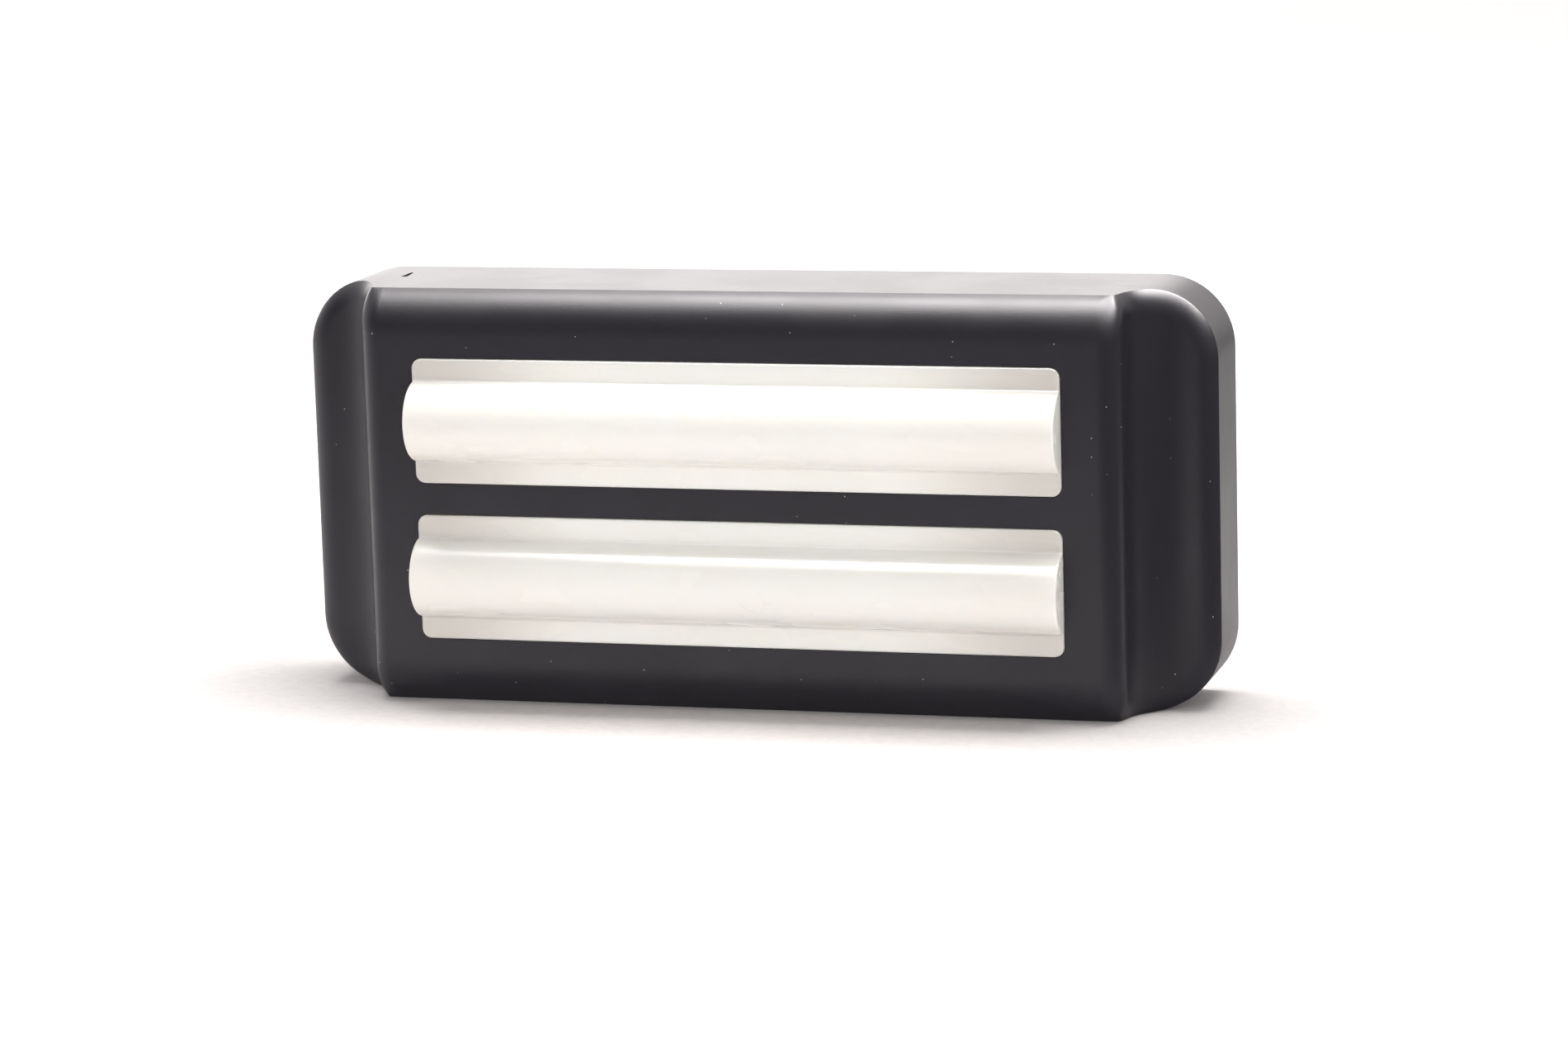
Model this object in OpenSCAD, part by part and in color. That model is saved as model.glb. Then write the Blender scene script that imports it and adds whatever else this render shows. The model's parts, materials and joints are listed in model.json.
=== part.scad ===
// Front position lamp with two opal light bars in a moulded black housing.
// The origin is the centre of the rear mounting face. The front faces -Y and +Z is up.
// A depth is measured from the rear face towards the front.

/* [Housing] */
// Overall length of the housing, along X
lamp_w = 122; // [119:1:150]
// Overall height of the housing, along Z
lamp_h = 54.6; // [50:0.2:66]
// Corner radius of the housing, seen from the front
corner_r = 9.2; // [7:0.2:12]
// Wall thickness of the housing
wall = 2.4; // [2:0.1:2.8]
// Depth of the low wing at each end
wing_depth = 13.4; // [12.4:0.2:17]
// How far the rounded front edge of a wing runs back
wing_edge_d = 1.4; // [0.8:0.1:2]
// How far the rounded front edge of a wing runs in from its outline
wing_edge_h = 2.8; // [2:0.1:3.4]
// Length of the raised block between the wings
block_w = 101; // [88:0.5:103]
// Depth of the raised block
block_depth = 23.3; // [22:0.1:28]
// How far the crowned front edge of the block runs back
crown_d = 3; // [2.6:0.1:3.8]
// How far the crowned front edge of the block runs in from its top and bottom
crown_h = 5.9; // [5:0.1:6.2]
// Draft angle of the block's ends
side_draft = 2; // [1:0.5:4]
// Radius of the hollow sweep between the block and a wing
hollow_r = 6.8; // [1.8:0.2:8]
// How far the rounded front edge runs back beside the block
side_edge_d = 0.9; // [0.5:0.1:1.4]
// Chamfer round the rear rim
rear_chamfer = 0.4; // [0.2:0.1:0.7]

/* [Windows and lenses] */
// Width of the frame between each end of the block and the windows
end_frame = 7.4; // [6.8:0.1:12]
// Width of the frame between the windows and the top and bottom of the housing
long_frame = 8.7; // [8.2:0.1:9.6]
// Corner radius of the windows
window_r = 1.4; // [0.8:0.1:2.4]
// Height of the bridge between the two windows
bridge_h = 4; // [3.6:0.1:5]
// Gap between a lens and the edge of its window
window_gap = 0.1; // [0.05:0.05:0.3]
// Radius of the round light bar on each lens
bar_r = 5.35; // [4.6:0.05:6.2]
// How far the centre line of the bar lies behind the front of the block
bar_sink = 0.7; // [0:0.1:1.5]
// Wall thickness of the hollow bar
bar_wall = 1.8; // [1.2:0.1:2.2]
// How far the flat flange of the lens stands in front of the block
lens_proud = 0.3; // [0.1:0.1:0.8]
// Width of the lens lip behind the front wall
lip_w = 1.3; // [0.8:0.1:1.6]
// Thickness of the lens lip
lip_t = 1.6; // [1:0.1:2.2]
// Thickness of the lens seal
seal_t = 0.5; // [0.3:0.1:1]

/* [Light unit] */
// Depth of the reflector troughs
reflector_d = 6.2; // [5:0.1:7]
// Wall thickness of the reflector
reflector_t = 1.2; // [0.8:0.1:1.5]
// Width of the flat bottom of a trough
trough_floor = 6.8; // [5:0.2:8]
// Distance from a trough's edge to the edge of its window
trough_frame = 1.3; // [0.8:0.1:2.2]
// Thickness of the circuit board
board_t = 1.6; // [1:0.1:2]
// How far the circuit board reaches past each end of the reflector
board_rim = 1.6; // [0.6:0.1:2]
// Light-emitting diodes in each row
leds_per_row = 6; // [4:1:7]
// Distance between neighbouring diodes
led_pitch = 13; // [8:0.5:13.5]
// Edge length of a diode's case
led_size = 3; // [2.4:0.1:3.6]
// Height of a diode's case
led_t = 0.8; // [0.6:0.1:1]

/* [Back] */
// Thickness of the back plate
plate_t = 2.5; // [2.2:0.1:3]
// Thickness of the seal between the back plate and its ledge
plate_seal_t = 0.8; // [0.5:0.1:1.2]
// Thickness of the rim that surrounds the back plate
rim_t = 1.2; // [1:0.1:1.4]
// Gap round the back plate
plate_gap = 0.15; // [0.1:0.05:0.3]
// Distance between the two mounting studs
stud_spacing = 60; // [40:1:64]
// Radius of the mounting studs
stud_r = 2.5; // [2:0.5:3]
// Length of a stud behind the rear face
stud_len = 15; // [10:1:30]
// Bore of the cable gland
gland_bore_r = 2.9; // [2:0.1:3.4]
// Radius of the gland's neck in the back plate
gland_neck_r = 4.8; // [4.4:0.1:5.6]
// Shank radius of the back plate screws
screw_r = 1.3; // [1:0.1:1.5]
// Length of the back plate screws under the head
screw_len = 8; // [6:0.2:8.4]

/* [Hidden] */
// Resistors on the rear of the circuit board
resistor_count = 4;

$fn = 64;

// Steps of a facetted curve
wing_steps = 24;
block_steps = 10;
edge_steps = 10;
room_steps = 6;
// Overrun of a cut past the face that it opens
cut = 1;

// Centre of a rounded corner of the outline
corner_x = lamp_w / 2 - corner_r;
corner_z = lamp_h / 2 - corner_r;

// Crowned front edge of the block: an arc that meets the front flush and the top at a parting edge
crown_r = (pow(crown_h, 2) + pow(crown_d, 2)) / (2 * crown_d);
crown_x = block_w / 2 - crown_d;
crown_z = lamp_h / 2 - crown_h;
block_band = block_depth - crown_d;

// End of the block: a round front edge, a drafted wall and a hollow sweep that runs out on the wing.
// A turn is the angle from the front of the lamp towards its end.
side_turn = 90 - side_draft;
hollow_top = wing_depth + hollow_r;
sweep_turn = min(side_turn, acos(max(0, hollow_top - block_band) / hollow_r));
wall_start = block_band + crown_d * cos(side_turn);
wall_end = hollow_top - hollow_r * cos(sweep_turn);
wall_slope = max(0, wall_start - wall_end) * tan(side_draft);
sweep_x = crown_x + crown_d * sin(side_turn) + wall_slope;
hollow_x = sweep_x + hollow_r * sin(sweep_turn);
wing_end_x = lamp_w / 2 - wing_edge_h;
// The crown's edge fades from the front of the block to the side's edge, a little behind the crown
crown_fade = crown_d + 1.3;
// The parting edge turns down at the block's corner
parting_drop = 0.2;
parting_run = crown_d - edge_size(side_turn, block_band)[1];

// Depths of the stack, from the front wall back
front_inside = block_depth - wall;
lip_front = front_inside - seal_t;
lens_back = lip_front - lip_t;
lens_face = block_depth + lens_proud;
bar_depth = block_depth - bar_sink;
board_front = lens_back - reflector_d;
board_back = board_front - board_t;
ledge = plate_t + plate_seal_t;

// Places and sizes that the pieces share
window_w = block_w - 2 * end_frame;
window_h = (lamp_h - bridge_h) / 2 - long_frame;
row_z = (bridge_h + window_h) / 2;
trough_mouth = window_h - 2 * trough_frame;
lens_w = window_w - 2 * window_gap;
lens_h = window_h - 2 * window_gap;
lip_length = window_w + 2 * lip_w;
lip_height = window_h + 2 * lip_w;
reflector_h = bridge_h + 2 * window_h + 2 * lip_w;
board_w = lip_length + 2 * board_rim;
plate_w = lamp_w - 2 * (rim_t + plate_gap);
plate_h = lamp_h - 2 * (rim_t + plate_gap);
plate_r = corner_r - rim_t - plate_gap;

// Pillars of the back plate, each with a pin that enters the board
pillar_inset = 4;
pillar_x = board_w / 2 - pillar_inset;
pillar_r = 2.4;
pin_r = 1;
pin_len = 1.2;
pin_gap = 0.15;
rib_t = 1.2;
rib_h = 1.6;

// Back plate screws and the bosses that they enter
boss_r = 2.8;
boss_gap = 0.3;
screw_end_inset = 6.4;
screw_side_inset = 10.4;
screw_x = max(lamp_w / 2 - screw_end_inset, board_w / 2 + boss_gap + boss_r);
screw_z = lamp_h / 2 - screw_side_inset;
screw_head_r = 2.5;
screw_head_t = 1.2;
screw_sink = 0.1;
screw_gap = 0.15;
screw_end = screw_sink + screw_head_t + screw_len;
pilot_gap = 0.05;
pilot_end_gap = 0.4;

// Mounting studs
stud_x = stud_spacing / 2;
stud_collar_step = 0.8;
stud_collar_r = stud_r + stud_collar_step;
stud_head_step = 1.7;
stud_flats = 2 * (stud_r + stud_head_step);
stud_head_t = 3;
stud_chamfer = 0.6;
stud_gap = 0.1;
stud_boss_wall = 2;
stud_boss_r = stud_flats / sqrt(3) + stud_boss_wall;

// Cable gland
gland_flange_step = 1.7;
gland_flange_r = gland_neck_r + gland_flange_step;
gland_flange_t = 1.2;
gland_sink = 0.1;
gland_inner_t = 1.4;
gland_cone_t = 2.6;
gland_cone_step = 0.6;
gland_cone_taper = 1;
gland_cone_base_r = gland_neck_r + gland_cone_step;
gland_cone_tip_r = gland_cone_base_r - gland_cone_taper;
gland_gap = 0.1;
gland_end = plate_t + gland_inner_t + gland_cone_t;

// Pieces on the rear of the board: sizes along X, Z and out of the board, and places along X and Z
led_gap = 0.3;
resistor_size = [3.2, 1.6, 0.6];
resistor_pitch = 3.4;
resistor_x = 20;
diode_size = [4.4, 3.6, 2.2];
diode_tab = [5.8, 2, 0.3];
diode_at = [-14, 3.5];
chip_size = [4.9, 3.9, 1.5];
chip_leg = [0.4, 6, 0.25];
chip_leg_pitch = 1.27;
chip_at = [12.4, -2];
capacitor_base = [6.6, 6.6, 0.8];
capacitor_r = 3.15;
capacitor_t = 5.2;
capacitor_at = [-14, -5];
terminal_size = [8, 5, 4];
terminal_inset = 6.9;
terminal_at = [0, reflector_h / 2 - terminal_inset];
terminal_pole = 3.8;
terminal_bore_r = 1;
terminal_floor = 0.8;

// A small dark nick in the top of the housing
nick_x = -48.4;
nick_depth = 10.2;
nick_sink = 0.1;
nick_r = 0.45;
nick_tail_r = 0.2;
nick_len = 3.8;
nick_turn = 3;

// Place of a diode in its row
function led_x(n) = (n - (leds_per_row + 1) / 2) * led_pitch;

// Carries the XY plane to the front view and puts it at a depth, so that an extrusion runs forwards
module at_depth(depth) {
    translate([0, -depth, 0])
        rotate([90, 0, 0])
            children();
}

// Extrudes a side profile, drawn as depth against height, along X
module along_x(length) {
    rotate([90, 0, -90])
        linear_extrude(length, center = true)
            children();
}

// Repeats its children at the four places that mirror one another
module four_times(x, z) {
    for (side = [-1, 1])
        for (level = [-1, 1])
            translate([side * x, 0, level * z])
                children();
}

module rounded_rect(w, h, r) {
    square([w - 2 * r, h], center = true);
    square([w, h - 2 * r], center = true);
    for (x = [-1, 1])
        for (y = [-1, 1])
            translate([x * (w / 2 - r), y * (h / 2 - r)])
                circle(r);
}

// A frame between two rounded rectangles with the same centre
module rounded_frame(w, h, r, inner_w, inner_h, inner_r) {
    difference() {
        rounded_rect(w, h, r);
        rounded_rect(inner_w, inner_h, inner_r);
    }
}

// Half height of the outline at a place along X
function outline_z(x) = corner_z + sqrt(max(0, pow(corner_r, 2) - pow(max(0, x - corner_x), 2)));

// Turn of the outline at a place along X, on a line that runs inside it by an inset
function outline_turn(x, inset) = asin(min(1, max(0, x - corner_x) / (corner_r - inset)));

// How far the arc of an edge has run out and back, at a step of its way in
function edge_arc(edge, step) =
    let (
        r = (pow(edge[0], 2) + pow(edge[1], 2)) / (2 * edge[1]),
        a = asin(edge[0] / r) * (1 - step / edge_steps)
    )
        [r * sin(a), r * (1 - cos(a))];

// Height and depth of the rounded edge, from the front's turn and depth at that place
function edge_size(turn, depth) =
    let (
        part = max(0, min(1, 1 - (block_depth - depth) / crown_fade)),
        share = part * part * (3 - 2 * part),
        side_d = side_edge_d + (wing_edge_d - side_edge_d) * pow(1 - sin(turn), 2)
    )
        [
            wing_edge_h + (crown_h - wing_edge_h) * share,
            side_d + (crown_d - side_d) * share
        ];

// Turn of the hollow sweep at a place along X, and the edge that goes with it
function hollow_turn(x) = asin(min(1, max(0, hollow_x - x) / hollow_r));
function hollow_edge(x) =
    let (turn = hollow_turn(x))
        edge_size(turn, hollow_top - hollow_r * cos(turn));

// Places along X on the wing, close together where the sweep or the outline is steep
function wing_x(n) = sweep_x + (wing_end_x - sweep_x) * (1 - cos(180 * n / wing_steps)) / 2;

// Place along X where the edge of the wing meets the outline
function wing_parting(x) =
    let (
        inset = hollow_edge(x)[0],
        out_x = x + inset * sin(outline_turn(x, inset))
    )
        out_x - sin(hollow_turn(out_x)) * hollow_edge(x)[1];

// A point on the rounded edge of the wing and its hollow sweep
function wing_point(x, step) =
    let (
        edge = hollow_edge(x),
        arc = edge_arc(edge, step),
        a = outline_turn(x, edge[0]),
        turn = hollow_turn(x + arc[0] * sin(a)),
        start_z = corner_z + (corner_r - edge[0]) * cos(a),
        end_z = outline_z(wing_parting(x))
    )
        [
            x + arc[0] * sin(a) - arc[1] * sin(turn),
            (hollow_r + arc[1]) * cos(turn) - hollow_top,
            start_z + (end_z - start_z) * arc[0] / edge[0]
        ];

// Place of the block's front corner at a turn, along X and as a depth
function block_front(turn) = crown_d * [sin(turn), cos(turn)] + [crown_x, block_band];

// Height of the block's edge at a turn
function block_edge_h(turn) = edge_size(turn, block_front(turn)[1])[0];

// How far the block's edge runs along X with the rounded corner of the outline
function block_shift(turn) = block_edge_h(turn) * sin(outline_turn(block_front(turn)[0], block_edge_h(turn)));

// Place where the edge of the block meets the outline, along X and as a depth
function block_parting(turn) = [
    crown_x + parting_run * sin(turn) + block_shift(turn),
    block_band - parting_drop * (1 - cos(turn))
];

// A point on the crowned edge of the block, round to its side
function block_point(turn, step) =
    let (
        front = block_front(turn),
        h = block_edge_h(turn),
        way = block_parting(turn) - [block_shift(turn), 0] - front,
        arc = edge_arc([h, norm(way)], step),
        place = front + way * arc[1] / norm(way),
        start_z = corner_z + (corner_r - h) * cos(outline_turn(front[0], h)),
        end_z = outline_z(block_parting(turn)[0])
    )
        [
            place[0] + block_shift(turn) * arc[0] / h,
            -place[1],
            start_z + (end_z - start_z) * arc[0] / h
        ];

// A point of the rear rim below a place on the parting edge
function rim_point(x, inset, depth) =
    let (a = outline_turn(x, 0))
        [x - inset * sin(a), -depth, outline_z(x) - inset * cos(a)];

// Turns of the block's edge, from its side to its front
block_turns = [for (n = [block_steps : -1 : 0]) side_turn * n / block_steps];
// Places of the wing's edge, from the end of the lamp to the block
wing_places = [for (n = [wing_steps : -1 : 0]) wing_x(n)];

// A quarter of the rear rim and of a ring of the rounded edge, from the end of the lamp to its middle
function rim_quarter(inset, depth) = concat(
    [for (x = wing_places) rim_point(wing_parting(x), inset, depth)],
    [for (turn = block_turns) rim_point(block_parting(turn)[0], inset, depth)]
);
function edge_quarter(step) = concat(
    [for (x = wing_places) wing_point(x, step)],
    [for (turn = block_turns) block_point(turn, step)]
);

// Carries the points of a quarter round the lamp
function all_round(quarter) =
    let (back = [for (n = [len(quarter) - 1 : -1 : 0]) quarter[n]])
        concat(
            quarter,
            [for (p = back) [-p[0], p[1], p[2]]],
            [for (p = quarter) [-p[0], p[1], -p[2]]],
            [for (p = back) [p[0], p[1], -p[2]]]
        );

// The outside of the housing, from its rear rim over the parting edge to the front
module skin() {
    rings = concat(
        [all_round(rim_quarter(rear_chamfer, 0)), all_round(rim_quarter(0, rear_chamfer))],
        [for (step = [0 : edge_steps]) all_round(edge_quarter(step))]
    );
    n = len(rings[0]);
    quarter = n / 4;
    last = (len(rings) - 1) * n;
    polyhedron(
        points = [for (r = rings) each r],
        faces = concat(
            [[for (i = [0 : n - 1]) i]],
            [
                for (k = [0 : n : last - n])
                    for (i = [0 : n - 1])
                        let (j = (i + 1) % n, even = floor(i / quarter) % 2 == 0)
                            each even
                                ? [[k + i, k + n + i, k + n + j], [k + i, k + n + j, k + j]]
                                : [[k + i, k + n + i, k + j], [k + j, k + n + i, k + n + j]]
            ],
            [
                for (i = [0 : quarter - 2])
                    for (start = [0, 2 * quarter])
                        [
                            last + start + i + 1,
                            last + start + i,
                            last + (start + n - 1 - i) % n,
                            last + (start + n - 2 - i) % n
                        ]
            ],
            [[last + 3 * quarter, last + 3 * quarter - 1, last + quarter, last + quarter - 1]]
        )
    );
}

// Section of the room inside the housing, as depth against height
module room_section() {
    room_r = crown_r - wall;
    span = asin((crown_h - wall) / room_r);
    arc = [
        for (n = [0 : room_steps])
            let (a = span * (1 - n / room_steps))
                [block_depth - crown_r + room_r * cos(a), crown_z + room_r * sin(a)]
    ];
    polygon(concat(
        [[0, lamp_h / 2 - wall]],
        arc,
        [for (n = [room_steps : -1 : 0]) [arc[n][0], -arc[n][1]]],
        [[0, wall - lamp_h / 2]]
    ));
}

// Plan of the room inside the housing, as X against Y
module room_plan() {
    half = concat(
        [[lamp_w / 2, 0], [lamp_w / 2, wall - wing_depth]],
        [
            for (n = [0 : room_steps])
                let (a = sweep_turn * n / room_steps)
                    [
                        hollow_x - (hollow_r + wall) * sin(a),
                        (hollow_r + wall) * cos(a) - hollow_top
                    ]
        ],
        [
            for (turn = [side_turn, side_turn / 2, 0])
                [
                    crown_x + (crown_d - wall) * sin(turn),
                    (wall - crown_d) * cos(turn) - block_band
                ]
        ]
    );
    polygon(concat(half, [for (n = [len(half) - 1 : -1 : 0]) [-half[n][0], half[n][1]]]));
}

// The room inside the housing, which keeps its wall at the crown and along the hollow sweeps
module room() {
    intersection() {
        along_x(lamp_w)
            room_section();
        linear_extrude(lamp_h, center = true)
            room_plan();
        at_depth(ledge - cut)
            linear_extrude(block_depth)
                rounded_rect(lamp_w - 2 * wall, lamp_h - 2 * wall, corner_r - wall);
    }
}

module windows() {
    for (row = [-row_z, row_z])
        translate([0, 0, row])
            at_depth(front_inside - cut)
                linear_extrude(wall + 2 * cut)
                    rounded_rect(window_w, window_h, window_r);
}

// A short gouge with round ends that runs out towards the rear
module nick() {
    rotate([-90, 0, nick_turn])
        cylinder(h = nick_len, r1 = nick_r, r2 = nick_tail_r);
    sphere(nick_r);
    rotate([0, 0, nick_turn])
        translate([0, nick_len, 0])
            sphere(nick_tail_r);
}

module housing() {
    color("#2c2a2f")
        difference() {
            skin();
            // The screw bosses stay standing in the room, up to its front wall
            difference() {
                union() {
                    at_depth(-cut)
                        linear_extrude(ledge + cut)
                            rounded_rect(lamp_w - 2 * rim_t, lamp_h - 2 * rim_t, corner_r - rim_t);
                    room();
                }
                four_times(screw_x, screw_z)
                    at_depth(plate_t)
                        cylinder(h = block_depth, r = boss_r);
            }
            windows();
            four_times(screw_x, screw_z)
                at_depth(plate_t - cut)
                    cylinder(h = screw_end + pilot_end_gap - plate_t + cut, r = screw_r + pilot_gap);
            translate([nick_x, -nick_depth, lamp_h / 2 - nick_sink])
                nick();
        }
}

// Side profile of the light bar, from the back of the lens forwards
module bar_profile(r, back) {
    intersection() {
        translate([bar_depth, 0])
            circle(r);
        translate([back, -r])
            square([bar_depth - back + r, 2 * r]);
    }
    translate([back, -r])
        square([max(bar_depth - back, cut), 2 * r]);
}

module lens(row) {
    translate([0, 0, row])
        color("#f4f1e6")
            difference() {
                union() {
                    at_depth(lens_back)
                        linear_extrude(lens_face - lens_back)
                            rounded_rect(lens_w, lens_h, window_r - window_gap);
                    at_depth(lens_back)
                        linear_extrude(lip_t)
                            rounded_rect(lip_length, lip_height, window_r + lip_w);
                    along_x(lens_w)
                        bar_profile(bar_r, lens_back);
                }
                along_x(lens_w - 2 * bar_wall)
                    bar_profile(bar_r - bar_wall, lens_back - cut);
            }
}

module lens_seal(row) {
    translate([0, 0, row])
        color("#8f8f8c")
            at_depth(lip_front)
                linear_extrude(seal_t)
                    rounded_frame(
                        lip_length, lip_height, window_r + lip_w,
                        window_w, window_h, window_r
                    );
}

// Side profile of a trough, grown outwards by a wall
module trough_profile(grow) {
    polygon([
        [board_front + reflector_t - grow, -trough_floor / 2 - grow],
        [lens_back + cut - grow, -trough_mouth / 2 - grow],
        [lens_back + cut - grow, trough_mouth / 2 + grow],
        [board_front + reflector_t - grow, trough_floor / 2 + grow]
    ]);
}

module reflector() {
    color("#f7f7f4")
        difference() {
            intersection() {
                along_x(lip_length) {
                    translate([lens_back - reflector_t, -reflector_h / 2])
                        square([reflector_t, reflector_h]);
                    for (row = [-row_z, row_z])
                        translate([0, row])
                            trough_profile(reflector_t);
                }
                at_depth(board_front)
                    linear_extrude(reflector_d)
                        square([lip_length, reflector_h], center = true);
            }
            for (row = [-row_z, row_z])
                translate([0, 0, row]) {
                    along_x(lip_length - 2 * reflector_t)
                        trough_profile(0);
                    for (n = [1 : leds_per_row])
                        translate([led_x(n), 0, 0])
                            at_depth(board_front - cut)
                                linear_extrude(reflector_t + 2 * cut)
                                    square(led_size + 2 * led_gap, center = true);
                }
        }
}

module circuit_board() {
    color("#1f6b3c")
        difference() {
            at_depth(board_back)
                linear_extrude(board_t)
                    square([board_w, reflector_h], center = true);
            four_times(pillar_x, row_z)
                at_depth(board_back - cut)
                    cylinder(h = board_t + 2 * cut, r = pin_r + pin_gap);
        }
}

module led(n, row) {
    recess_r = led_size * 0.4;
    recess_t = led_t / 4;
    translate([led_x(n), 0, row])
        color("#f2e7a0")
            difference() {
                at_depth(board_front)
                    linear_extrude(led_t)
                        square(led_size, center = true);
                at_depth(board_front + led_t - recess_t)
                    cylinder(h = recess_t + cut, r = recess_r);
            }
}

// A box that lies on the rear of the circuit board
module on_board(at, size) {
    translate([at[0], 0, at[1]])
        at_depth(board_back - size[2])
            linear_extrude(size[2])
                square([size[0], size[1]], center = true);
}

module resistor(n) {
    color("#262626")
        on_board([resistor_x, (n - (resistor_count + 1) / 2) * resistor_pitch], resistor_size);
}

module protection_diode() {
    color("#303033")
        on_board(diode_at, diode_size);
    color("#b8b8b8")
        on_board(diode_at, diode_tab);
}

module driver_chip() {
    color("#26262a")
        on_board(chip_at, chip_size);
    color("#b8b8b8")
        for (n = [-1.5 : 1.5])
            on_board([chip_at[0] + n * chip_leg_pitch, chip_at[1]], chip_leg);
}

module capacitor() {
    color("#2b2b2b")
        on_board(capacitor_at, capacitor_base);
    color("#c9cacb")
        translate([capacitor_at[0], 0, capacitor_at[1]])
            at_depth(board_back - capacitor_t)
                cylinder(h = capacitor_t - capacitor_base[2] / 2, r = capacitor_r);
}

module wire_terminal() {
    color("#e9e9e2")
        difference() {
            on_board(terminal_at, terminal_size);
            for (side = [-1, 1])
                translate([terminal_at[0] + side * terminal_pole / 2, 0, terminal_at[1]])
                    at_depth(board_back - terminal_size[2] - cut)
                        cylinder(h = terminal_size[2] + cut - terminal_floor, r = terminal_bore_r);
        }
}

module hexagon(flats) {
    circle(flats / sqrt(3), $fn = 6);
}

// Pillars that clamp the board, each with a pin that enters it
module board_pillars() {
    four_times(pillar_x, row_z)
        at_depth(plate_t / 2) {
            cylinder(h = board_back - plate_t / 2, r = pillar_r);
            cylinder(h = board_back - plate_t / 2 + pin_len, r = pin_r);
        }
    for (row = [-row_z, row_z])
        translate([0, 0, row])
            at_depth(plate_t / 2)
                linear_extrude(plate_t / 2 + rib_h)
                    square([2 * pillar_x, rib_t], center = true);
}

module back_plate() {
    color("#232326")
        difference() {
            union() {
                at_depth(0)
                    linear_extrude(plate_t)
                        rounded_rect(plate_w, plate_h, plate_r);
                board_pillars();
                for (side = [-1, 1])
                    translate([side * stud_x, 0, 0])
                        at_depth(plate_t / 2)
                            cylinder(h = plate_t / 2 + stud_head_t, r = stud_boss_r);
            }
            for (side = [-1, 1])
                translate([side * stud_x, 0, 0]) {
                    at_depth(-cut)
                        cylinder(h = plate_t + 2 * cut, r = stud_collar_r + stud_gap);
                    at_depth(plate_t)
                        linear_extrude(stud_head_t + cut)
                            hexagon(stud_flats + 2 * stud_gap);
                }
            four_times(screw_x, screw_z) {
                at_depth(-cut)
                    cylinder(h = plate_t + 2 * cut, r = screw_r + screw_gap);
                at_depth(-cut)
                    cylinder(h = screw_head_t + screw_sink + cut, r = screw_head_r + screw_gap);
            }
            at_depth(-cut)
                cylinder(h = plate_t + 2 * cut, r = gland_neck_r + gland_gap);
            at_depth(-cut)
                cylinder(h = gland_flange_t + cut, r = gland_flange_r + gland_gap);
        }
}

module plate_seal() {
    color("#4a4a4a")
        at_depth(plate_t)
            linear_extrude(plate_seal_t)
                rounded_frame(
                    plate_w, plate_h, plate_r,
                    lamp_w - 2 * wall, lamp_h - 2 * wall, corner_r - wall
                );
}

module plate_screws() {
    color("#b9bbbd")
        four_times(screw_x, screw_z) {
            at_depth(screw_sink)
                cylinder(h = screw_head_t, r = screw_head_r);
            at_depth(screw_sink)
                cylinder(h = screw_end - screw_sink, r = screw_r);
        }
}

// A stud whose collar passes the back plate and whose head lies in a pocket behind it
module stud(side) {
    translate([side * stud_x, 0, 0])
        color("#c4c6c9") {
            at_depth(plate_t)
                linear_extrude(stud_head_t)
                    hexagon(stud_flats);
            at_depth(0)
                cylinder(h = plate_t, r = stud_collar_r);
            at_depth(stud_chamfer - stud_len)
                cylinder(h = stud_len - stud_chamfer, r = stud_r);
            at_depth(-stud_len)
                cylinder(h = stud_chamfer, r1 = stud_r - stud_chamfer, r2 = stud_r);
        }
}

module cable_gland() {
    color("#1d1d1f")
        difference() {
            union() {
                at_depth(gland_sink)
                    cylinder(h = gland_flange_t - gland_sink, r = gland_flange_r);
                at_depth(gland_sink)
                    cylinder(h = plate_t - gland_sink, r = gland_neck_r);
                at_depth(plate_t)
                    cylinder(h = gland_inner_t, r = gland_flange_r);
                at_depth(plate_t + gland_inner_t)
                    cylinder(h = gland_cone_t, r1 = gland_cone_base_r, r2 = gland_cone_tip_r);
            }
            at_depth(-cut)
                cylinder(h = gland_end + 2 * cut, r = gland_bore_r);
        }
}

housing();
lens(row_z);  // lens_upper
lens(-row_z);  // lens_lower
lens_seal(row_z);  // lens_seal_upper
lens_seal(-row_z);  // lens_seal_lower
reflector();
circuit_board();
for (n = [1 : leds_per_row]) {
    led(n, row_z);
    led(n, -row_z);
}
for (n = [1 : resistor_count]) {
    resistor(n);
}
protection_diode();
driver_chip();
capacitor();
wire_terminal();
back_plate();
plate_seal();
plate_screws();
stud(-1);  // stud_left
stud(1);  // stud_right
cable_gland();
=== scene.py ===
"""Front position lamp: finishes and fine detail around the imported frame.

Lengths are in metres and follow the frame: X runs along the lamp, the lamp shines towards -Y and Z is
up. The origin is the centre of the rear mounting face.
"""

import json
import logging
import math
from collections.abc import Callable, Iterator
from contextlib import contextmanager
from dataclasses import dataclass, field
from enum import Enum

import bmesh
import bpy
from mathutils import Matrix, Vector

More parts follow.
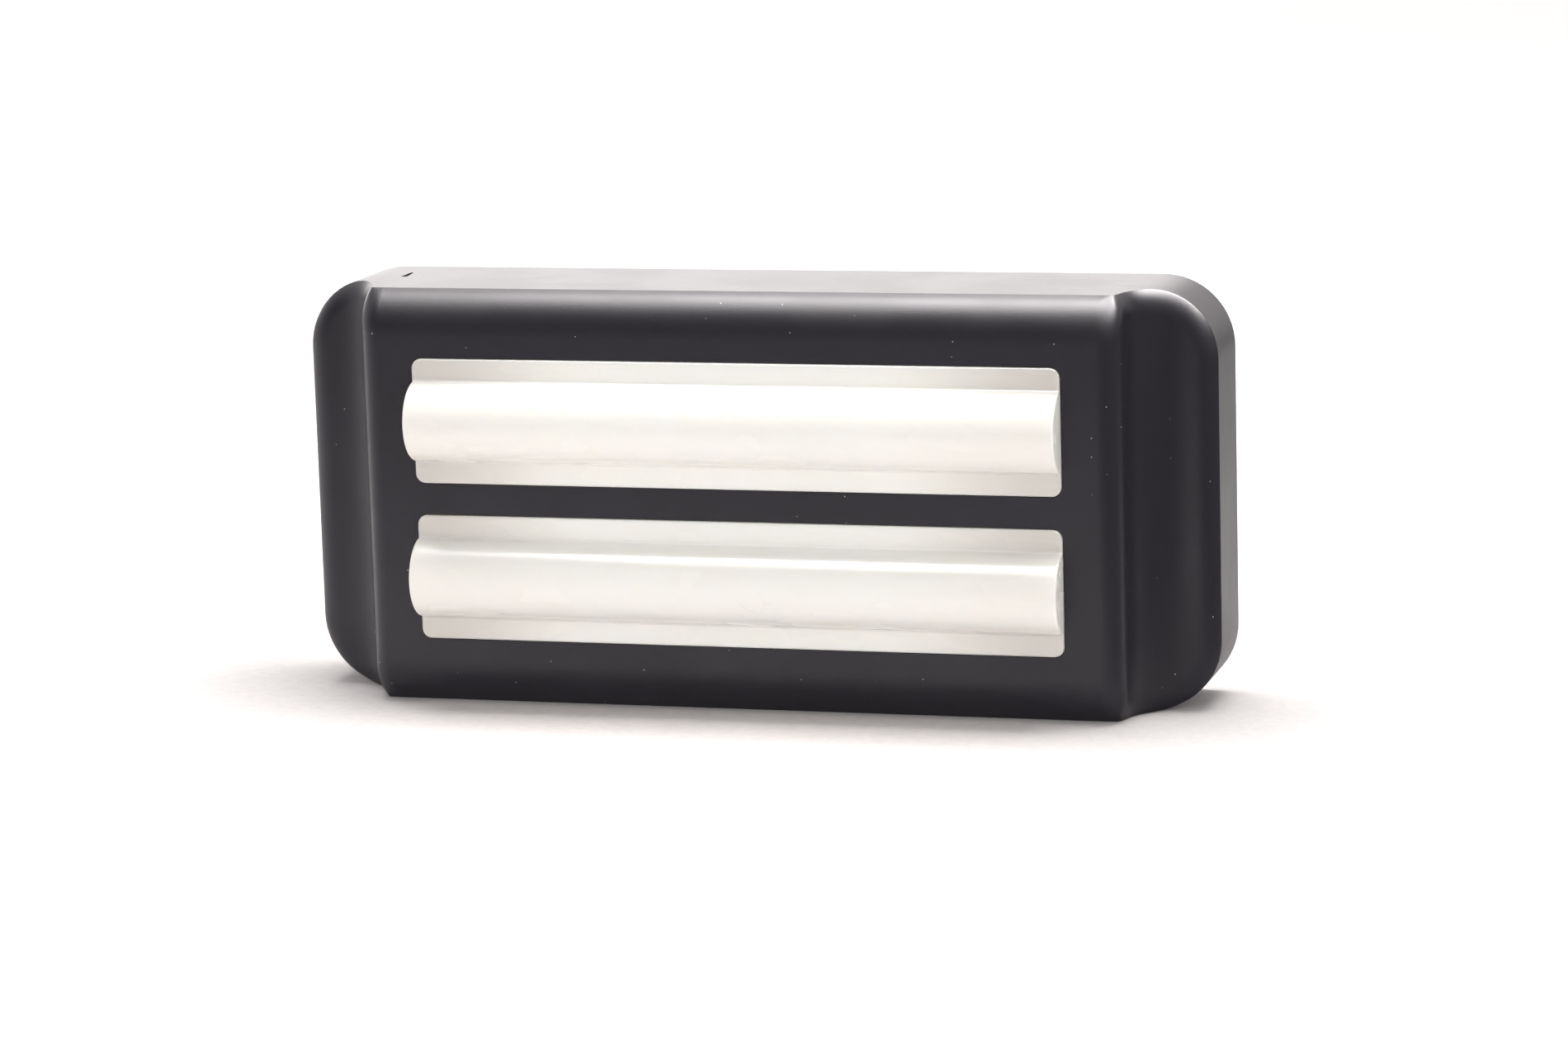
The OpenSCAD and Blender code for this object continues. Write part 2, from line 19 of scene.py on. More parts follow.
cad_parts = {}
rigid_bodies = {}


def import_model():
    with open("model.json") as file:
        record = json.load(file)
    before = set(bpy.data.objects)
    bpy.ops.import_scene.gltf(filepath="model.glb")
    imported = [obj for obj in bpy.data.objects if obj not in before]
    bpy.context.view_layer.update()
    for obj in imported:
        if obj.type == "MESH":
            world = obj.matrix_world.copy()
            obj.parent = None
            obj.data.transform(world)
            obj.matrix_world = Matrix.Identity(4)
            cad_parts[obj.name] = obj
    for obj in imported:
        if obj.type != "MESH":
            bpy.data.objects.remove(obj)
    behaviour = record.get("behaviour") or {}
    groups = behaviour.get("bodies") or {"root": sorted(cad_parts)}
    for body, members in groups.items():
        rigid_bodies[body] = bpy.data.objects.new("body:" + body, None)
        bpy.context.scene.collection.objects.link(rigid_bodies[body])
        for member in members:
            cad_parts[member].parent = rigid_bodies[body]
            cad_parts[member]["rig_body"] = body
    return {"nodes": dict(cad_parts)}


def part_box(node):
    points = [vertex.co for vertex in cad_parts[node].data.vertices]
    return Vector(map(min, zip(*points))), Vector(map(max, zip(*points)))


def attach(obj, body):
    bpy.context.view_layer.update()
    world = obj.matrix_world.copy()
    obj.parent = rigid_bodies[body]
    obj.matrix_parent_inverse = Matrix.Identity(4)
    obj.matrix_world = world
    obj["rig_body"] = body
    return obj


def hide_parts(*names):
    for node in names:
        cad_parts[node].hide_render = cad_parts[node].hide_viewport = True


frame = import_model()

LOG = logging.getLogger("position_lamp")
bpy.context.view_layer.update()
BODY = "root"
MM = 0.001

Rgb = tuple[float, float, float]
PLAIN: Rgb = (1.0, 1.0, 1.0)
Colour = Rgb | bpy.types.NodeSocket
Value = float | tuple[float, ...] | bpy.types.NodeSocket


def shown(red: int, green: int, blue: int) -> Rgb:
    """Turns a colour as a screen shows it into the linear one that a shader takes.

    Args:
        red: Red, from 0 to 255.
        green: Green, from 0 to 255.
        blue: Blue, from 0 to 255.

    Returns:
        The linear colour.
    """
    def linear(level: int) -> float:
        """Undoes the screen's curve for one level."""
        part = level / 255
        return part / 12.92 if part <= 0.04045 else ((part + 0.055) / 1.055) ** 2.4

    return linear(red), linear(green), linear(blue)


def dimmed(colour: Rgb, share: float) -> Rgb:
    """Gives a colour with a share of its light."""
    return tuple(share * level for level in colour)


class Axis(Enum):
    """An axis of the frame."""

    X = 0
    Y = 1
    Z = 2


class Bench:
    """Mesh work with Blender's own operators, on one object at a time."""

    WELD = 0.002 * MM
    FLAT_DEGREES = 0.3

    @staticmethod
    def take(piece: bpy.types.Object) -> None:
        """Deselects everything else and makes a piece the active object."""
        for other in list(bpy.context.selected_objects):
            other.select_set(False)
        bpy.context.view_layer.objects.active = piece
        piece.select_set(True)

    @staticmethod
    @contextmanager
    def editing(piece: bpy.types.Object, element: str = "FACE") -> Iterator[None]:
        """Opens a piece in edit mode with nothing selected, and closes it again.

        Args:
            piece: The mesh to work on.
            element: What is picked: VERT, EDGE or FACE.
        """
        Bench.take(piece)
        bpy.ops.object.mode_set(mode="EDIT")
        bpy.ops.mesh.select_mode(type=element)
        bpy.ops.mesh.select_all(action="DESELECT")
        yield
        bpy.ops.object.mode_set(mode="OBJECT")

    @staticmethod
    def pick_faces(piece: bpy.types.Object, test: Callable[[Vector, Vector], bool]) -> int:
        """Selects the faces of the piece in edit mode that pass a test.

        Args:
            piece: The mesh in edit mode.
            test: Takes a face's centre and normal.

        Returns:
            How many faces were selected.
        """
        shape = bmesh.from_edit_mesh(piece.data)
        picked = [f for f in shape.faces if test(f.calc_center_median(), f.normal)]
        for face in picked:
            face.select_set(True)
        bmesh.update_edit_mesh(piece.data)
        return len(picked)

    @staticmethod
    def modify(piece: bpy.types.Object, kind: str, **settings: object) -> None:
        """Adds a modifier, sets it and applies it.

        Args:
            piece: The mesh to modify.
            kind: The modifier's type, such as BEVEL.
            **settings: Properties of the modifier.
        """
        Bench.take(piece)
        modifier = piece.modifiers.new(kind.lower(), kind)
        for key, value in settings.items():
            setattr(modifier, key, value)
        bpy.ops.object.modifier_apply(modifier=modifier.name)

    @staticmethod
    def round_edges(
        piece: bpy.types.Object, width: float, angle: float, segments: int = 2, **settings: object
    ) -> None:
        """Rounds the edges of a piece that turn by more than an angle.

        Args:
            piece: The mesh to work on.
            width: The width of the rounding.
            angle: The smallest turn, in degrees.
            segments: How many steps the rounding has.
            **settings: More properties of the bevel.
        """
        Bench.modify(
            piece, "BEVEL", width=width, segments=segments, limit_method="ANGLE",
            angle_limit=math.radians(angle), use_clamp_overlap=True, **settings
        )

    @staticmethod
    def settle(piece: bpy.types.Object) -> None:
        """Moves a piece's place, turn and scale into its mesh."""
        Bench.take(piece)
        bpy.ops.object.transform_apply(location=True, rotation=True, scale=True)

    @staticmethod
    def smooth(piece: bpy.types.Object, angle: float = 30.0) -> None:
        """Shades a piece smooth, with a crease where faces meet at more than an angle in degrees."""
        Bench.take(piece)
        bpy.ops.object.shade_smooth_by_angle(angle=math.radians(angle))
        Bench.modify(piece, "WEIGHTED_NORMAL", keep_sharp=True, weight=50)

    @staticmethod
    def copy_of(node: str, name: str) -> bpy.types.Object:
        """Copies a CAD node as a piece of its own, with its triangles merged into faces.

        Args:
            node: The CAD node, which the copy then stands for.
            name: The name of the new piece.

        Returns:
            The new piece, which rides on the lamp's body.
        """
        mesh = frame["nodes"][node].data.copy()
        mesh.name = name
        mesh.materials.clear()
        piece = bpy.data.objects.new(name, mesh)
        bpy.context.scene.collection.objects.link(piece)
        Bench.take(piece)
        bpy.ops.mesh.customdata_custom_splitnormals_clear()
        with Bench.editing(piece, "VERT"):
            bpy.ops.mesh.select_all(action="SELECT")
            bpy.ops.mesh.remove_doubles(threshold=Bench.WELD)
            bpy.ops.mesh.dissolve_limited(angle_limit=math.radians(Bench.FLAT_DEGREES))
        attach(piece, BODY)
        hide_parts(node)
        return piece


class Graph:
    """A node tree that is being written."""

    def __init__(self, tree: bpy.types.NodeTree) -> None:
        """Takes the tree to write in."""
        self.tree = tree

    def add(self, kind: str, inputs: dict[str, Value] | None = None, **settings: object) -> bpy.types.Node:
        """Adds a node.

        Args:
            kind: The node's type.
            inputs: A value or a socket for each named input.
            **settings: Properties of the node.

        Returns:
            The new node.
        """
        node = self.tree.nodes.new(kind)
        for key, value in settings.items():
            setattr(node, key, value)
        for key, value in (inputs or {}).items():
            self.feed(node.inputs[key], value)
        return node

    def feed(self, socket: bpy.types.NodeSocket, value: Value) -> None:
        """Gives an input a value, or joins it to another node's output."""
        if isinstance(value, bpy.types.NodeSocket):
            self.tree.links.new(value, socket)
        else:
            socket.default_value = value

    def maths(
        self, operation: str, first: Value, second: Value = 0.0, clamp: bool = False
    ) -> bpy.types.NodeSocket:
        """Works out one sum.

        Args:
            operation: The operation, such as MULTIPLY.
            first: The first value.
            second: The second value.
            clamp: Whether the result is kept between 0 and 1.

        Returns:
            The result's socket.
        """
        node = self.add("ShaderNodeMath", operation=operation, use_clamp=clamp)
        self.feed(node.inputs[0], first)
        self.feed(node.inputs[1], second)
        return node.outputs[0]

    def blend(self, share: Value, first: Colour, second: Colour, how: str = "MIX") -> bpy.types.NodeSocket:
        """Mixes two colours.

        Args:
            share: How much of the second colour is used, from 0 to 1.
            first: The first colour.
            second: The second colour.
            how: The way of mixing, such as MIX or MULTIPLY.

        Returns:
            The mixed colour's socket.
        """
        node = self.add("ShaderNodeMix", data_type="RGBA", blend_type=how)
        self.feed(node.inputs[0], share)
        for socket, colour in ((node.inputs[6], first), (node.inputs[7], second)):
            self.feed(socket, (*colour, 1.0) if isinstance(colour, tuple) else colour)
        return node.outputs[2]

    def between(
        self, value: Value, low: float, high: float, start: float = 0.0, end: float = 1.0
    ) -> bpy.types.NodeSocket:
        """Carries a value smoothly from one range to another.

        Args:
            value: The value to carry over.
            low: Where the old range starts.
            high: Where the old range ends.
            start: What the low end becomes.
            end: What the high end becomes.

        Returns:
            The new value's socket.
        """
        node = self.add("ShaderNodeMapRange", interpolation_type="SMOOTHSTEP")
        for socket, given in zip(node.inputs, (value, low, high, start, end)):
            self.feed(socket, given)
        return node.outputs[0]

    def place(self, scale: tuple[float, float, float] = (1.0, 1.0, 1.0)) -> bpy.types.NodeSocket:
        """Gives a point's place on the object, stretched along the axes.

        Args:
            scale: The stretch along X, Y and Z.

        Returns:
            The place's socket.
        """
        here = self.add("ShaderNodeTexCoord").outputs["Object"]
        return self.add("ShaderNodeMapping", {"Vector": here, "Scale": scale}).outputs[0]

    def part(self, place: bpy.types.NodeSocket, axis: Axis) -> bpy.types.NodeSocket:
        """Gives one part of a place: its X, Y or Z."""
        return self.add("ShaderNodeSeparateXYZ", {"Vector": place}).outputs[axis.value]

    def noise(
        self, place: bpy.types.NodeSocket, size: Value, detail: float = 3.0, rough: float = 0.5
    ) -> bpy.types.NodeSocket:
        """Makes soft noise.

        Args:
            place: The place to read the noise at.
            size: How many lumps there are to a metre.
            detail: How many finer layers there are.
            rough: How strong the finer layers are.

        Returns:
            The noise's socket.
        """
        inputs = {"Vector": place, "Scale": size, "Detail": detail, "Roughness": rough}
        return self.add("ShaderNodeTexNoise", inputs).outputs["Fac"]

    def effect(self, group: "Effect", **inputs: Value) -> bpy.types.NodeSocket:
        """Places a shared effect with values of its own.

        Args:
            group: The effect.
            **inputs: A value or socket for each input, named as in the group.

        Returns:
            The effect's socket.
        """
        node = self.add("ShaderNodeGroup", node_tree=EFFECTS[group])
        for key, value in inputs.items():
            self.feed(node.inputs[key.capitalize()], value)
        return node.outputs[0]


class Effect(Enum):
    """A surface effect that several finishes share."""

    GRAIN = "moulded_grain"
    DUST = "settled_dust"
    SCRATCHES = "hairline_scratches"
    PATCHES = "rubbed_patches"


EFFECTS: dict[Effect, bpy.types.NodeTree] = {}


@dataclass(frozen=True)
class EffectBuilder:
    """Writes the shared effects as node groups, each once."""

    lump_scale: float = 0.12
    scratch_stretch: tuple[float, float, float] = (1.0, 1.0, 0.7)
    scratch_breaks: float = 160.0
    streak_stretch: tuple[float, float, float] = (9.0, 1.0, 1.0)
    patch_from: float = 0.35
    patch_to: float = 0.65

    def start(
        self, effect: Effect, inputs: dict[str, float], output: str
    ) -> tuple[Graph, dict[str, bpy.types.NodeSocket]]:
        """Opens a new group.

        Args:
            effect: The effect that the group is for.
            inputs: The name and usual value of each input.
            output: The name of the one output.

        Returns:
            The group's graph, and its inputs' sockets by name.
        """
        tree = bpy.data.node_groups.new(effect.value, "ShaderNodeTree")
        for label, usual in inputs.items():
            socket = tree.interface.new_socket(label, in_out="INPUT", socket_type="NodeSocketFloat")
            socket.default_value = usual
        tree.interface.new_socket(output, in_out="OUTPUT", socket_type="NodeSocketFloat")
        graph = Graph(tree)
        given = graph.add("NodeGroupInput")
        EFFECTS[effect] = tree
        return graph, {label: given.outputs[label] for label in inputs}

    def finish(self, graph: Graph, result: bpy.types.NodeSocket) -> None:
        """Joins a result to the group's output."""
        graph.feed(graph.add("NodeGroupOutput").inputs[0], result)

    def grain(self) -> None:
        """The fine grain of a mould's surface, with some larger lumps in it."""
        graph, given = self.start(Effect.GRAIN, {"Size": 3000.0, "Lumps": 0.3}, "Height")
        place = graph.place()
        fine = graph.noise(place, given["Size"], detail=2.0, rough=0.6)
        wide = graph.noise(place, graph.maths("MULTIPLY", given["Size"], self.lump_scale), detail=2.0)
        wide = graph.maths("MULTIPLY", wide, given["Lumps"])
        self.finish(graph, graph.maths("ADD", fine, wide))

    def dust(self) -> None:
        """Small specks that lie here and there."""
        graph, given = self.start(Effect.DUST, {"Spacing": 400.0, "Speck": 0.05, "Share": 0.2}, "Mask")
        cells = graph.add("ShaderNodeTexVoronoi", {"Vector": graph.place(), "Scale": given["Spacing"]})
        near = graph.maths("LESS_THAN", cells.outputs["Distance"], given["Speck"])
        drawn = graph.maths("LESS_THAN", graph.part(cells.outputs["Color"], Axis.X), given["Share"])
        self.finish(graph, graph.maths("MULTIPLY", near, drawn))

    def scratches(self) -> None:
        """Thin curved hairlines, broken into short pieces."""
        graph, given = self.start(Effect.SCRATCHES, {"Spacing": 120.0, "Width": 0.006, "Share": 0.42}, "Mask")
        place = graph.place(self.scratch_stretch)
        lines = graph.add(
            "ShaderNodeTexVoronoi", {"Vector": place, "Scale": given["Spacing"]}, feature="DISTANCE_TO_EDGE"
        )
        line = graph.maths("LESS_THAN", lines.outputs["Distance"], given["Width"])
        broken = graph.maths("LESS_THAN", graph.noise(place, self.scratch_breaks, detail=1.0), given["Share"])
        self.finish(graph, graph.maths("MULTIPLY", line, broken))

    def patches(self) -> None:
        """Wide soft patches where the surface was handled, stretched upwards."""
        graph, given = self.start(Effect.PATCHES, {"Size": 60.0, "Streaks": 0.5}, "Mask")
        soft = graph.noise(graph.place(), given["Size"], detail=3.0)
        streaks = graph.noise(graph.place(self.streak_stretch), given["Size"], detail=4.0, rough=0.6)
        node = graph.add("ShaderNodeMix", data_type="FLOAT")
        for index, value in ((0, given["Streaks"]), (2, soft), (3, streaks)):
            graph.feed(node.inputs[index], value)
        self.finish(graph, graph.between(node.outputs[0], self.patch_from, self.patch_to))

    def build(self) -> None:
        """Writes every effect."""
        self.grain()
        self.dust()
        self.scratches()
        self.patches()


@dataclass(frozen=True)
class Finish:
    """What every finish has."""

    name: str
    colour: Rgb
    roughness: float = 0.5
    metallic: float = 0.0
    coat: float = 0.0
    coat_roughness: float = 0.1

    def material(self) -> bpy.types.Material:
        """Builds the finish's material.

        Returns:
            The material, ready for a slot.
        """
        made = bpy.data.materials.new(self.name)
        made.use_nodes = True
        made.diffuse_color = (*self.colour, 1.0)
        graph = Graph(made.node_tree)
        shader = made.node_tree.nodes["Principled BSDF"]
        shader.inputs["Base Color"].default_value = (*self.colour, 1.0)
        shader.inputs["Roughness"].default_value = self.roughness
        shader.inputs["Metallic"].default_value = self.metallic
        shader.inputs["Coat Weight"].default_value = self.coat
        shader.inputs["Coat Roughness"].default_value = self.coat_roughness
        self.dress(graph, shader.inputs)
        return made

    def dress(self, graph: Graph, sockets: bpy.types.bpy_prop_collection) -> None:
        """Adds the detail that varies over the surface.

        Args:
            graph: The material's nodes.
            sockets: The shader's inputs.
        """
        raise NotImplementedError

    @staticmethod
    def relief(graph: Graph, sockets: bpy.types.bpy_prop_collection, height: Value, depth: float) -> None:
        """Turns a height into a bump of a given depth in metres."""
        bump = graph.add("ShaderNodeBump", {"Height": height, "Distance": depth, "Strength": 1.0})
        graph.feed(sockets["Normal"], bump.outputs[0])


@dataclass(frozen=True)
class Moulding(Finish):
    """Moulded plastic or rubber: grained, dusty and rubbed in patches."""

    grain: float = 3000.0
    depth: float = 0.01 * MM
    lumps: float = 0.3
    dust: float = 0.1
    rubbed: float = 0.08
    patch_size: float = 70.0
    streaks: float = 0.1
    shaded: float = 0.8
    dust_spacing: float = 620.0
    speck: float = 0.045
    tint: Rgb = (0.5, 0.48, 0.46)

    def dress(self, graph: Graph, sockets: bpy.types.bpy_prop_collection) -> None:
        """Adds grain, rubbed patches and dust."""
        grain = graph.effect(Effect.GRAIN, size=self.grain, lumps=self.lumps)
        rubs = graph.effect(Effect.PATCHES, size=self.patch_size, streaks=self.streaks)
        specks = graph.effect(Effect.DUST, spacing=self.dust_spacing, speck=self.speck, share=self.dust)
        darker = dimmed(self.colour, self.shaded)
        base = graph.blend(rubs, darker, self.colour)
        graph.feed(sockets["Base Color"], graph.blend(specks, base, self.tint))
        low, high = self.roughness - self.rubbed / 2, self.roughness + self.rubbed / 2
        graph.feed(sockets["Roughness"], graph.between(rubs, 0.0, 1.0, high, low))
        self.relief(graph, sockets, grain, self.depth)


@dataclass(frozen=True)
class Opal(Finish):
    """Milky plastic with painted shade that greys it towards the lamp's ends, more on the flanges than on the
    bars.
    """

    # Painted shade colours for the lens's ends: one for the bars, a darker one for the flanges.
    shaded_end_colour: Rgb = (0.9, 0.88, 0.83)
    shaded_flange_end_colour: Rgb = (0.66, 0.635, 0.59)
    bright_to: float = 18 * MM
    grey_from: float = 43 * MM
    flange_from: float = 4.4 * MM
    flange_to: float = 5.8 * MM
    cloud: float = 0.02
    cloud_size: float = 180.0
    cloud_stretch: tuple[float, float, float] = (0.3, 1.0, 1.0)
    mark: float = 0.18
    mark_colour: Rgb = (0.45, 0.42, 0.38)
    mark_depth: float = 0.004 * MM
    specular: float = 0.25
    soft: float = 0.5
    soft_radius: Rgb = (1.0, 0.9, 0.75)
    soft_depth: float = 1.2 * MM

    def dress(self, graph: Graph, sockets: bpy.types.bpy_prop_collection) -> None:
        """Adds painted shade towards the ends, faint clouds and hairline scratches."""
        place = graph.place()
        out = graph.maths("ABSOLUTE", graph.part(place, Axis.X))
        low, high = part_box("lens_upper")
        level = graph.maths("ABSOLUTE", graph.part(place, Axis.Z))
        level = graph.maths("ABSOLUTE", graph.maths("SUBTRACT", level, (low.z + high.z) / 2))
        # Painted shade: the lens is greyed towards its ends, and its flanges more than its bars.
        flange_shade = graph.between(level, self.flange_from, self.flange_to)
        end = graph.blend(flange_shade, self.shaded_end_colour, self.shaded_flange_end_colour)
        base = graph.blend(graph.between(out, self.bright_to, self.grey_from), self.colour, end)
        clouds = graph.noise(graph.place(self.cloud_stretch), self.cloud_size, detail=2.0)
        shaded = graph.blend(1.0, base, (1.0 - self.cloud,) * 3, "MULTIPLY")
        base = graph.blend(graph.between(clouds, 0.4, 0.7), base, shaded)
        lines = graph.effect(Effect.SCRATCHES, spacing=130.0, width=0.003, share=0.3)
        specks = graph.effect(Effect.DUST, spacing=260.0, speck=0.03, share=0.12)
        marks = graph.maths("MULTIPLY", graph.maths("MAXIMUM", lines, specks), self.mark)
        graph.feed(sockets["Base Color"], graph.blend(marks, base, self.mark_colour))
        glossy, dull = self.roughness - 0.04, self.roughness + 0.06
        graph.feed(sockets["Roughness"], graph.between(clouds, 0.3, 0.8, glossy, dull))
        sockets["Specular IOR Level"].default_value = self.specular
        sockets["Subsurface Weight"].default_value = self.soft
        sockets["Subsurface Radius"].default_value = self.soft_radius
        sockets["Subsurface Scale"].default_value = self.soft_depth
        self.relief(graph, sockets, graph.maths("SUBTRACT", 1.0, lines), self.mark_depth)


@dataclass(frozen=True)
class Plated(Finish):
    """Zinc-plated steel: bright, faintly drawn along its length and a little spotted."""

    stretch: tuple[float, float, float] = (1.0, 0.1, 1.0)
    line_size: float = 5000.0
    line_depth: float = 0.004 * MM
    spot_size: float = 500.0
    spot_share: float = 0.6
    spot_shade: float = 0.72
    spot_dull: float = 0.18

    def dress(self, graph: Graph, sockets: bpy.types.bpy_prop_collection) -> None:
        """Adds drawn lines and dull spots."""
        lines = graph.noise(graph.place(self.stretch), self.line_size, detail=3.0)
        spots = graph.effect(Effect.PATCHES, size=self.spot_size, streaks=0.2)
        dull = dimmed(self.colour, self.spot_shade)
        share = graph.maths("MULTIPLY", spots, self.spot_share)
        graph.feed(sockets["Base Color"], graph.blend(share, self.colour, dull))
        rough = graph.between(spots, 0.0, 1.0, self.roughness, self.roughness + self.spot_dull)
        graph.feed(sockets["Roughness"], rough)
        self.relief(graph, sockets, lines, self.line_depth)


@dataclass(frozen=True)
class Lacquer(Finish):
    """A lacquered circuit board, with tracks that show through as a lighter green."""

    track: Rgb = (0.05, 0.3, 0.11)
    track_share: float = 0.5
    track_width: float = 0.09
    track_soft: float = 0.05
    cell: float = 260.0
    cloth: float = 2500.0
    depth: float = 0.01 * MM

    def dress(self, graph: Graph, sockets: bpy.types.bpy_prop_collection) -> None:
        """Adds tracks and a slight unevenness."""
        place = graph.place()
        runs = graph.add("ShaderNodeTexBrick", {
            "Vector": place, "Scale": self.cell, "Mortar Size": self.track_width, "Mortar Smooth": self.track_soft
        })
        tracks = graph.maths("SUBTRACT", 1.0, runs.outputs["Fac"])
        cloth = graph.noise(place, self.cloth, detail=2.0)
        share = graph.maths("MULTIPLY", tracks, self.track_share)
        graph.feed(sockets["Base Color"], graph.blend(share, self.track, self.colour))
        rough = graph.between(cloth, 0.3, 0.7, self.roughness - 0.05, self.roughness + 0.1)
        graph.feed(sockets["Roughness"], rough)
        self.relief(graph, sockets, graph.maths("ADD", cloth, tracks), self.depth)


@dataclass(frozen=True)
class Banded(Finish):
    """A small part whose colour changes across a plane, such as a phosphor dot or a plated end."""

    other: Rgb = (0.7, 0.7, 0.7)
    axis: Axis = Axis.Y
    centre: float = 0.0
    half: float = 1.0 * MM
    grain: float = 6000.0
    shaded: float = 0.9
    depth: float = 0.006 * MM

    def dress(self, graph: Graph, sockets: bpy.types.bpy_prop_collection) -> None:
        """Adds the second colour past the band's edge, and a fine grain."""
        along = graph.part(graph.place(), self.axis)
        away = graph.maths("ABSOLUTE", graph.maths("SUBTRACT", along, self.centre))
        past = graph.maths("GREATER_THAN", away, self.half)
        grain = graph.effect(Effect.GRAIN, size=self.grain, lumps=0.4)
        darker = dimmed(self.colour, self.shaded)
        varied = graph.blend(graph.between(grain, 0.3, 1.0), self.colour, darker)
        graph.feed(sockets["Base Color"], graph.blend(past, varied, self.other))
        rough = graph.between(grain, 0.2, 1.1, self.roughness - 0.05, self.roughness + 0.1)
        graph.feed(sockets["Roughness"], rough)
        self.relief(graph, sockets, grain, self.depth)


@dataclass
class Assembly:
    """What every sub-assembly can do: dress what it made and say so."""

    made: list[bpy.types.Object] = field(default_factory=list)

    def keep(self, piece: bpy.types.Object, slot: str, *finishes: Finish) -> bpy.types.Object:
        """Gives a finished piece its materials.

        Args:
            piece: The finished mesh.
            slot: The record's material slot; not used.
            *finishes: The piece's finishes, the first one for most of its faces.

        Returns:
            The same piece.
        """
        piece.data.materials.clear()
        for finish in finishes:
            piece.data.materials.append(bpy.data.materials.get(finish.name) or finish.material())
        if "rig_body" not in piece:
            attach(piece, BODY)
        self.made.append(piece)
        LOG.info("%s: %d faces", piece.name, len(piece.data.polygons))
        return piece


HOUSING_FRONT = Moulding(
    "housing_smooth_black", shown(29, 25, 36), roughness=0.37, grain=4200.0, depth=0.009 * MM, dust=0.3,
    rubbed=0.03
)
HOUSING_BAND = Moulding(
    "housing_grained_black", shown(40, 35, 40), roughness=0.42, grain=1700.0, depth=0.03 * MM, lumps=0.9,
    dust=0.1, rubbed=0.02
)
OPAL = Opal("opal_warm_white", (0.94, 0.93, 0.875), roughness=0.26, coat=0.2, coat_roughness=0.08)
SEAL = Moulding("lens_seal_cream", (0.42, 0.39, 0.33), roughness=0.6, grain=3000.0, dust=0.0)
PLATE = Moulding(
    "back_plate_black", shown(34, 33, 34), roughness=0.5, grain=1500.0, depth=0.03 * MM, lumps=0.6, dust=0.06
)
GASKET = Moulding("gasket_black", shown(40, 40, 40), roughness=0.75, grain=2500.0, dust=0.0)
GLAND = Moulding(
    "gland_rubber_black", shown(32, 31, 31), roughness=0.62, grain=2600.0, depth=0.012 * MM, dust=0.12
)
ZINC = Plated("zinc_plated_steel", (0.62, 0.63, 0.64), roughness=0.28, metallic=1.0)
WHITE = Moulding(
    "reflector_white", (0.86, 0.86, 0.84), roughness=0.32, grain=900.0, depth=0.01 * MM, dust=0.0,
    tint=(0.8, 0.8, 0.78)
)
BOARD = Lacquer("board_green_lacquer", (0.02, 0.16, 0.06), roughness=0.3, coat=0.3)
CHIP = Moulding("chip_black_resin", shown(42, 42, 44), roughness=0.55, grain=5000.0, dust=0.0)
CAN = Plated("capacitor_can", (0.72, 0.73, 0.74), roughness=0.3, metallic=1.0)
NYLON = Moulding("terminal_ivory_nylon", (0.78, 0.77, 0.72), roughness=0.4, grain=2600.0, dust=0.0)


@dataclass
class Housing(Assembly):
    """The moulded shell: smooth in front, grained round its sides, with a fine edge between the two."""

    edge: float = 0.14 * MM
    edge_turn: float = 28.0
    crease: float = 35.0
    outline_slack: float = 0.25 * MM
    corner: float = 9.3 * MM
    square: float = 0.9
    upright: float = 0.12

    def __post_init__(self) -> None:
        """Reads the shell's outline from the frame."""
        low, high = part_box("housing")
        self.half_w = (high.x - low.x) / 2
        self.half_h = (high.z - low.z) / 2

    def on_band(self, centre: Vector, normal: Vector) -> bool:
        """Tells whether a face belongs to the grained band round the sides.

        Args:
            centre: The face's centre.
            normal: The face's normal.

        Returns:
            True on the outer sides, which stand square to the rear face.
        """
        if abs(normal.y) > self.upright:
            return False
        beyond_x, beyond_z = abs(centre.x) - self.half_w, abs(centre.z) - self.half_h
        level = abs(beyond_z) < self.outline_slack and abs(normal.z) > self.square
        end = abs(beyond_x) < self.outline_slack and abs(normal.x) > self.square
        outward = centre.x * normal.x > 0 and centre.z * normal.z > 0
        return level or end or (outward and min(beyond_x, beyond_z) > -self.corner)

    def build(self) -> None:
        """Rounds the shell's edges and dresses its two surfaces."""
        shell = Bench.copy_of("housing", "housing_shell")
        Bench.round_edges(shell, self.edge, self.edge_turn, miter_outer="MITER_ARC")
        Bench.smooth(shell, self.crease)
        self.keep(shell, "housing", HOUSING_FRONT, HOUSING_BAND)
        with Bench.editing(shell):
            count = Bench.pick_faces(shell, self.on_band)
            shell.active_material_index = 1
            bpy.ops.object.material_slot_assign()
        LOG.info("grained band: %d faces", count)


@dataclass
class Lenses(Assembly):
    """The two opal lenses, each a flange with a round light bar, and the seals behind them."""

    edge: float = 0.3 * MM
    edge_turn: float = 35.0
    crease: float = 40.0

    def build(self) -> None:
        """Rounds and dresses both lenses, and dresses the seals."""
        for row in ("upper", "lower"):
            lens = Bench.copy_of(f"lens_{row}", f"opal_lens_{row}")
            Bench.round_edges(lens, self.edge, self.edge_turn, segments=3)
            Bench.smooth(lens, self.crease)
            self.keep(lens, "lens", OPAL)
            self.keep(frame["nodes"][f"lens_seal_{row}"], "lens_seal", SEAL)


